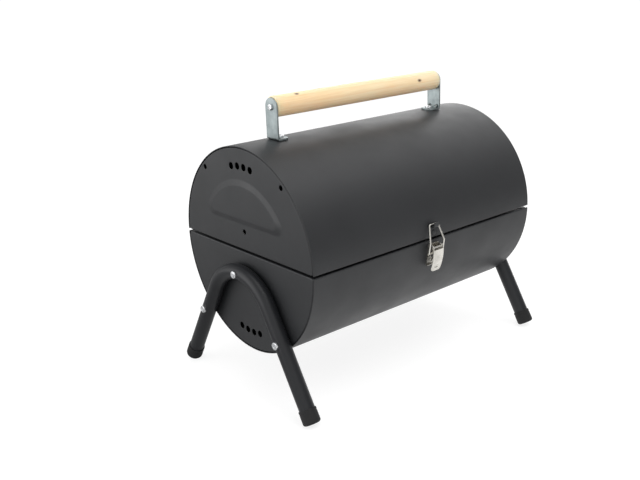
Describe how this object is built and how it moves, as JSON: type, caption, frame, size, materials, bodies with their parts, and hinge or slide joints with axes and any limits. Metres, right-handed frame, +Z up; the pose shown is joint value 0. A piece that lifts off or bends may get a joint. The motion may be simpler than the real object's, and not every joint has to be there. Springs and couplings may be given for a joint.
{
  "type": "barrel charcoal grill",
  "caption": "Table-top barrel charcoal grill: hinged half-barrel lid on a half-barrel base, wooden bar handle, front toggle latch, bent tube legs on the ends.",
  "frame": {"origin": "on the table, under the middle of the whole model's box", "axes": "+X along the barrel to its right end seen from the latch, +Y to the hinges at the rear, +Z up"},
  "size_m": [0.4004, 0.2566, 0.3385],
  "materials": {
    "powder_coat": "satin black heat-resistant powder coat with a fine texture",
    "leg_paint": "semi-gloss black powder coat on steel tube",
    "foot_plastic": "moulded plastic with a fine grain",
    "screw_zinc": "bright zinc plating",
    "bracket_zinc": "dull zinc-plated sheet",
    "latch_nickel": "nickel-plated pressed steel and wire",
    "handle_wood": "turned softwood, thin clear lacquer",
    "grate_chrome": "chrome-plated wire",
    "grate_steel": "bare steel wire, dulled"
  },
  "bodies": {
    "base": {"base_shell": "powder_coat", "base_end_left": "powder_coat", "base_end_right": "powder_coat", "leg_left": "leg_paint", "leg_right": "leg_paint", "foot_left_front": "foot_plastic", "foot_left_rear": "foot_plastic", "foot_right_front": "foot_plastic", "foot_right_rear": "foot_plastic", "leg_screws_left": "screw_zinc", "leg_screws_right": "screw_zinc", "leg_nuts_left": "screw_zinc", "leg_nuts_right": "screw_zinc", "hinge_rivets_lower": "screw_zinc", "hinge_pin_left": "screw_zinc", "hinge_pin_right": "screw_zinc", "hinge_leaf_lower_left": "bracket_zinc", "hinge_leaf_lower_right": "bracket_zinc", "grate_rest_left": "bracket_zinc", "grate_rest_right": "bracket_zinc", "latch_plate": "latch_nickel", "latch_pin": "latch_nickel", "latch_rivets": "latch_nickel", "cooking_grate": "grate_chrome", "charcoal_grate": "grate_steel"},
    "lid": {"lid_shell": "powder_coat", "lid_end_left": "powder_coat", "lid_end_right": "powder_coat", "handle_bracket_left": "bracket_zinc", "handle_bracket_right": "bracket_zinc", "handle_dowel": "handle_wood", "handle_screws": "screw_zinc", "bracket_bolts": "screw_zinc", "bracket_nuts": "screw_zinc", "hinge_leaf_upper_left": "bracket_zinc", "hinge_leaf_upper_right": "bracket_zinc", "hinge_rivets_upper": "screw_zinc", "latch_catch": "powder_coat", "catch_rivet": "powder_coat"},
    "latch_lever": {"latch_lever": "latch_nickel"},
    "latch_bail": {"latch_bail": "latch_nickel"}
  },
  "joints": [
    {"name": "lid_hinge", "type": "hinge", "parent": "base", "child": "lid", "pos_m": [0, 0.12501, 0.1695], "axis": [-1, 0, 0], "range_deg": [0, 177]},
    {"name": "latch_lever_pivot", "type": "hinge", "parent": "base", "child": "latch_lever", "pos_m": [0, -0.12479, 0.1605], "axis": [-1, 0, 0], "range_deg": [0, 120]},
    {"name": "latch_bail_pivot", "type": "hinge", "parent": "latch_lever", "child": "latch_bail", "pos_m": [0, -0.12309, 0.1541], "axis": [1, 0, 0], "range_deg": [0, 106]}
  ],
  "couplings": [
    {"joint": "latch_bail_pivot", "follows": "latch_lever_pivot", "ratio": 0.88}
  ]
}
